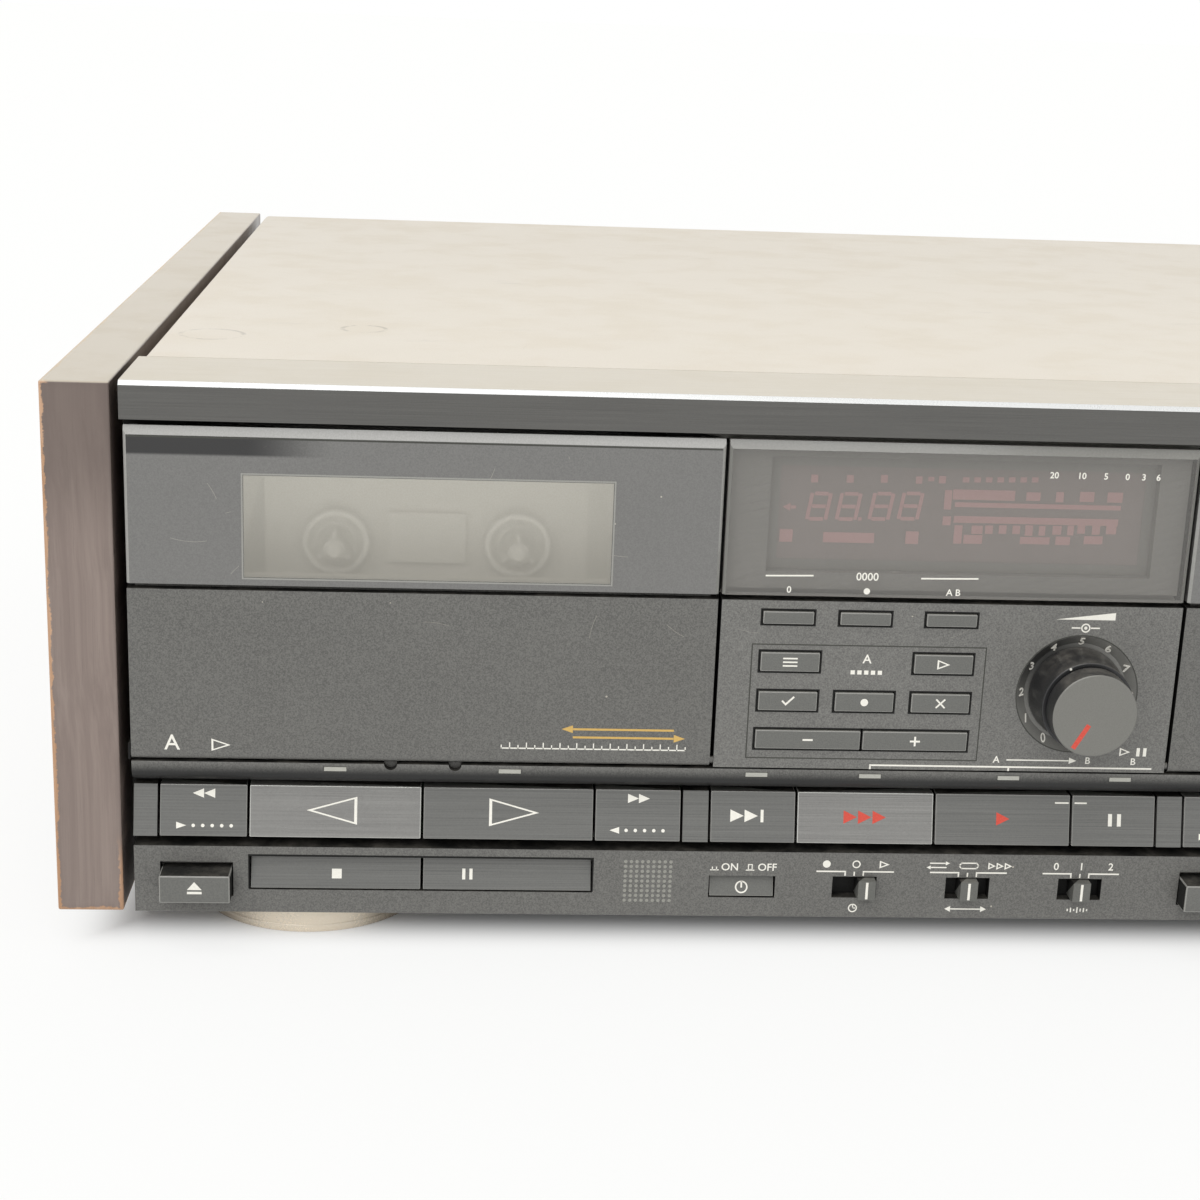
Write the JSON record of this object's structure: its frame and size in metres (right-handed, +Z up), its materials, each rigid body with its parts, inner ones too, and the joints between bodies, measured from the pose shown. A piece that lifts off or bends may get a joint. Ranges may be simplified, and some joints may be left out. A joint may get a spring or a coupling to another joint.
{
  "type": "auto-reverse cassette deck",
  "caption": "Double auto-reverse cassette deck with wooden side panels, tilting cassette doors, key row, display window, level knob and round feet.",
  "frame": {"origin": "centre of the footprint box, on the surface that the feet stand on", "axes": "+Z up, +X to the right seen from the front, +Y from the front to the rear"},
  "size_m": [0.4644, 0.3614, 0.1362],
  "materials": {
    "panel": null,
    "trim": "black anodised and brushed, polished chamfer",
    "cover": "satin warm grey paint",
    "chassis": "zinc plated sheet",
    "wood": "dark veneer, satin lacquer",
    "foot": "champagne satin",
    "smoked": "smoked clear plastic",
    "board": "circuit board",
    "core": "lacquered iron core",
    "black_plastic": "black plastic",
    "screw": "plated steel",
    "mechanism": "light grey moulding",
    "key": "black finish, fine brushed",
    "knob": "black, spun face",
    "reel": "off-white plastic",
    "flywheel": "turned metal"
  },
  "bodies": {
    "deck": {"front_panel": "panel", "trim_bar": "trim", "top_cover": "cover", "chassis": "chassis", "side_panels": "wood", "feet": "foot", "display_window": "smoked", "control_board": "board", "main_board": "board", "transformer": "core", "sockets": "black_plastic", "screws": "screw", "mechanisms": "mechanism"},
    "door_a": {"door_a": "panel", "lens_a": "smoked"},
    "door_b": {"door_b": "panel", "lens_b": "smoked"},
    "a_rewind": {"a_rewind": "key"},
    "a_reverse": {"a_reverse": "key"},
    "a_forward": {"a_forward": "key"},
    "a_fast": {"a_fast": "key"},
    "a_stop": {"a_stop": "key"},
    "a_pause": {"a_pause": "key"},
    "a_eject": {"a_eject": "key"},
    "b_rewind": {"b_rewind": "key"},
    "b_reverse": {"b_reverse": "key"},
    "b_forward": {"b_forward": "key"},
    "b_fast": {"b_fast": "key"},
    "b_stop": {"b_stop": "key"},
    "b_pause": {"b_pause": "key"},
    "b_eject": {"b_eject": "key"},
    "b_record": {"b_record": "key"},
    "c_search": {"c_search": "key"},
    "c_high": {"c_high": "key"},
    "c_normal": {"c_normal": "key"},
    "c_auto": {"c_auto": "key"},
    "counter_reset": {"counter_reset": "key"},
    "counter_memory": {"counter_memory": "key"},
    "counter_select": {"counter_select": "key"},
    "prog_display": {"prog_display": "key"},
    "prog_start": {"prog_start": "key"},
    "prog_check": {"prog_check": "key"},
    "prog_set": {"prog_set": "key"},
    "prog_clear": {"prog_clear": "key"},
    "prog_minus": {"prog_minus": "key"},
    "prog_plus": {"prog_plus": "key"},
    "power_key": {"power_key": "key"},
    "slide_timer": {"slide_timer": "key"},
    "slide_direction": {"slide_direction": "key"},
    "slide_noise": {"slide_noise": "key"},
    "level_knob": {"level_knob": "knob"},
    "level_ring": {"level_ring": "knob"},
    "reel_a_left": {"reel_a_left": "reel"},
    "reel_a_right": {"reel_a_right": "reel"},
    "reel_b_left": {"reel_b_left": "reel"},
    "reel_b_right": {"reel_b_right": "reel"},
    "capstan_a_left": {"capstan_a_left": "flywheel"},
    "capstan_a_right": {"capstan_a_right": "flywheel"},
    "capstan_b_left": {"capstan_b_left": "flywheel"},
    "capstan_b_right": {"capstan_b_right": "flywheel"}
  },
  "joints": [
    {"name": "door_a_hinge", "type": "hinge", "parent": "deck", "child": "door_a", "pos_m": [-0.14705, -0.16385, 0.0491], "axis": [1, 0, 0], "range_deg": [0, 22]},
    {"name": "door_b_hinge", "type": "hinge", "parent": "deck", "child": "door_b", "pos_m": [0.09725, -0.16385, 0.0491], "axis": [1, 0, 0], "range_deg": [0, 22]},
    {"name": "a_rewind_press", "type": "slide", "parent": "deck", "child": "a_rewind", "axis": [0, 1, 0], "range_m": [0, 0.0012], "stiffness_N_per_m": 250, "springref_m": -0.003},
    {"name": "a_reverse_press", "type": "slide", "parent": "deck", "child": "a_reverse", "axis": [0, 1, 0], "range_m": [0, 0.0012], "stiffness_N_per_m": 250, "springref_m": -0.003},
    {"name": "a_forward_press", "type": "slide", "parent": "deck", "child": "a_forward", "axis": [0, 1, 0], "range_m": [0, 0.0012], "stiffness_N_per_m": 250, "springref_m": -0.003},
    {"name": "a_fast_press", "type": "slide", "parent": "deck", "child": "a_fast", "axis": [0, 1, 0], "range_m": [0, 0.0012], "stiffness_N_per_m": 250, "springref_m": -0.003},
    {"name": "a_stop_press", "type": "slide", "parent": "deck", "child": "a_stop", "axis": [0, 1, 0], "range_m": [0, 0.0014], "stiffness_N_per_m": 250, "springref_m": -0.003},
    {"name": "a_pause_press", "type": "slide", "parent": "deck", "child": "a_pause", "axis": [0, 1, 0], "range_m": [0, 0.0014], "stiffness_N_per_m": 250, "springref_m": -0.003},
    {"name": "a_eject_press", "type": "slide", "parent": "deck", "child": "a_eject", "axis": [0, 1, 0], "range_m": [0, 0.003], "stiffness_N_per_m": 200, "springref_m": -0.003},
    {"name": "b_rewind_press", "type": "slide", "parent": "deck", "child": "b_rewind", "axis": [0, 1, 0], "range_m": [0, 0.0012], "stiffness_N_per_m": 250, "springref_m": -0.003},
    {"name": "b_reverse_press", "type": "slide", "parent": "deck", "child": "b_reverse", "axis": [0, 1, 0], "range_m": [0, 0.0012], "stiffness_N_per_m": 250, "springref_m": -0.003},
    {"name": "b_forward_press", "type": "slide", "parent": "deck", "child": "b_forward", "axis": [0, 1, 0], "range_m": [0, 0.0012], "stiffness_N_per_m": 250, "springref_m": -0.003},
    {"name": "b_fast_press", "type": "slide", "parent": "deck", "child": "b_fast", "axis": [0, 1, 0], "range_m": [0, 0.0012], "stiffness_N_per_m": 250, "springref_m": -0.003},
    {"name": "b_stop_press", "type": "slide", "parent": "deck", "child": "b_stop", "axis": [0, 1, 0], "range_m": [0, 0.0014], "stiffness_N_per_m": 250, "springref_m": -0.003},
    {"name": "b_pause_press", "type": "slide", "parent": "deck", "child": "b_pause", "axis": [0, 1, 0], "range_m": [0, 0.0014], "stiffness_N_per_m": 250, "springref_m": -0.003},
    {"name": "b_eject_press", "type": "slide", "parent": "deck", "child": "b_eject", "axis": [0, 1, 0], "range_m": [0, 0.003], "stiffness_N_per_m": 200, "springref_m": -0.003},
    {"name": "b_record_press", "type": "slide", "parent": "deck", "child": "b_record", "axis": [0, 1, 0], "range_m": [0, 0.0012], "stiffness_N_per_m": 250, "springref_m": -0.003},
    {"name": "c_search_press", "type": "slide", "parent": "deck", "child": "c_search", "axis": [0, 1, 0], "range_m": [0, 0.0012], "stiffness_N_per_m": 250, "springref_m": -0.003},
    {"name": "c_high_press", "type": "slide", "parent": "deck", "child": "c_high", "axis": [0, 1, 0], "range_m": [0, 0.0012], "stiffness_N_per_m": 250, "springref_m": -0.003},
    {"name": "c_normal_press", "type": "slide", "parent": "deck", "child": "c_normal", "axis": [0, 1, 0], "range_m": [0, 0.0012], "stiffness_N_per_m": 250, "springref_m": -0.003},
    {"name": "c_auto_press", "type": "slide", "parent": "deck", "child": "c_auto", "axis": [0, 1, 0], "range_m": [0, 0.0012], "stiffness_N_per_m": 250, "springref_m": -0.003},
    {"name": "counter_reset_press", "type": "slide", "parent": "deck", "child": "counter_reset", "axis": [0, 1, 0], "range_m": [0, 0.0012], "stiffness_N_per_m": 250, "springref_m": -0.003},
    {"name": "counter_memory_press", "type": "slide", "parent": "deck", "child": "counter_memory", "axis": [0, 1, 0], "range_m": [0, 0.0012], "stiffness_N_per_m": 250, "springref_m": -0.003},
    {"name": "counter_select_press", "type": "slide", "parent": "deck", "child": "counter_select", "axis": [0, 1, 0], "range_m": [0, 0.0012], "stiffness_N_per_m": 250, "springref_m": -0.003},
    {"name": "prog_display_press", "type": "slide", "parent": "deck", "child": "prog_display", "axis": [0, 1, 0], "range_m": [0, 0.0012], "stiffness_N_per_m": 250, "springref_m": -0.003},
    {"name": "prog_start_press", "type": "slide", "parent": "deck", "child": "prog_start", "axis": [0, 1, 0], "range_m": [0, 0.0012], "stiffness_N_per_m": 250, "springref_m": -0.003},
    {"name": "prog_check_press", "type": "slide", "parent": "deck", "child": "prog_check", "axis": [0, 1, 0], "range_m": [0, 0.0012], "stiffness_N_per_m": 250, "springref_m": -0.003},
    {"name": "prog_set_press", "type": "slide", "parent": "deck", "child": "prog_set", "axis": [0, 1, 0], "range_m": [0, 0.0012], "stiffness_N_per_m": 250, "springref_m": -0.003},
    {"name": "prog_clear_press", "type": "slide", "parent": "deck", "child": "prog_clear", "axis": [0, 1, 0], "range_m": [0, 0.0012], "stiffness_N_per_m": 250, "springref_m": -0.003},
    {"name": "prog_minus_press", "type": "slide", "parent": "deck", "child": "prog_minus", "axis": [0, 1, 0], "range_m": [0, 0.0012], "stiffness_N_per_m": 250, "springref_m": -0.003},
    {"name": "prog_plus_press", "type": "slide", "parent": "deck", "child": "prog_plus", "axis": [0, 1, 0], "range_m": [0, 0.0012], "stiffness_N_per_m": 250, "springref_m": -0.003},
    {"name": "power_key_press", "type": "slide", "parent": "deck", "child": "power_key", "axis": [0, 1, 0], "range_m": [0, 0.003], "stiffness_N_per_m": 200, "springref_m": -0.003},
    {"name": "slide_timer_slide", "type": "slide", "parent": "deck", "child": "slide_timer", "axis": [1, 0, 0], "range_m": [-0.0054, 0]},
    {"name": "slide_direction_slide", "type": "slide", "parent": "deck", "child": "slide_direction", "axis": [1, 0, 0], "range_m": [-0.0027, 0.0027]},
    {"name": "slide_noise_slide", "type": "slide", "parent": "deck", "child": "slide_noise", "axis": [1, 0, 0], "range_m": [-0.0027, 0.0027]},
    {"name": "level_knob_turn", "type": "hinge", "parent": "deck", "child": "level_knob", "pos_m": [0.0061, -0.16525, 0.0672], "axis": [0, 1, 0], "range_deg": [0, 300]},
    {"name": "level_ring_turn", "type": "hinge", "parent": "deck", "child": "level_ring", "pos_m": [0.0061, -0.16525, 0.0672], "axis": [0, 1, 0], "range_deg": [-120, 180]},
    {"name": "reel_a_left_turn", "type": "hinge", "parent": "deck", "child": "reel_a_left", "pos_m": [-0.1683, -0.15525, 0.0961], "axis": [0, 1, 0], "continuous": true},
    {"name": "reel_a_right_turn", "type": "hinge", "parent": "deck", "child": "reel_a_right", "pos_m": [-0.1258, -0.15525, 0.0961], "axis": [0, 1, 0], "continuous": true},
    {"name": "capstan_a_left_turn", "type": "hinge", "parent": "deck", "child": "capstan_a_left", "pos_m": [-0.17805, -0.15525, 0.0738], "axis": [0, 1, 0], "continuous": true},
    {"name": "capstan_a_right_turn", "type": "hinge", "parent": "deck", "child": "capstan_a_right", "pos_m": [-0.11605, -0.15525, 0.0738], "axis": [0, 1, 0], "continuous": true},
    {"name": "reel_b_left_turn", "type": "hinge", "parent": "deck", "child": "reel_b_left", "pos_m": [0.076, -0.15525, 0.0961], "axis": [0, 1, 0], "continuous": true},
    {"name": "reel_b_right_turn", "type": "hinge", "parent": "deck", "child": "reel_b_right", "pos_m": [0.1185, -0.15525, 0.0961], "axis": [0, 1, 0], "continuous": true},
    {"name": "capstan_b_left_turn", "type": "hinge", "parent": "deck", "child": "capstan_b_left", "pos_m": [0.06625, -0.15525, 0.0738], "axis": [0, 1, 0], "continuous": true},
    {"name": "capstan_b_right_turn", "type": "hinge", "parent": "deck", "child": "capstan_b_right", "pos_m": [0.12825, -0.15525, 0.0738], "axis": [0, 1, 0], "continuous": true}
  ],
  "couplings": [
    {"joint": "capstan_a_right_turn", "follows": "capstan_a_left_turn", "ratio": 1},
    {"joint": "capstan_b_right_turn", "follows": "capstan_b_left_turn", "ratio": 1}
  ]
}
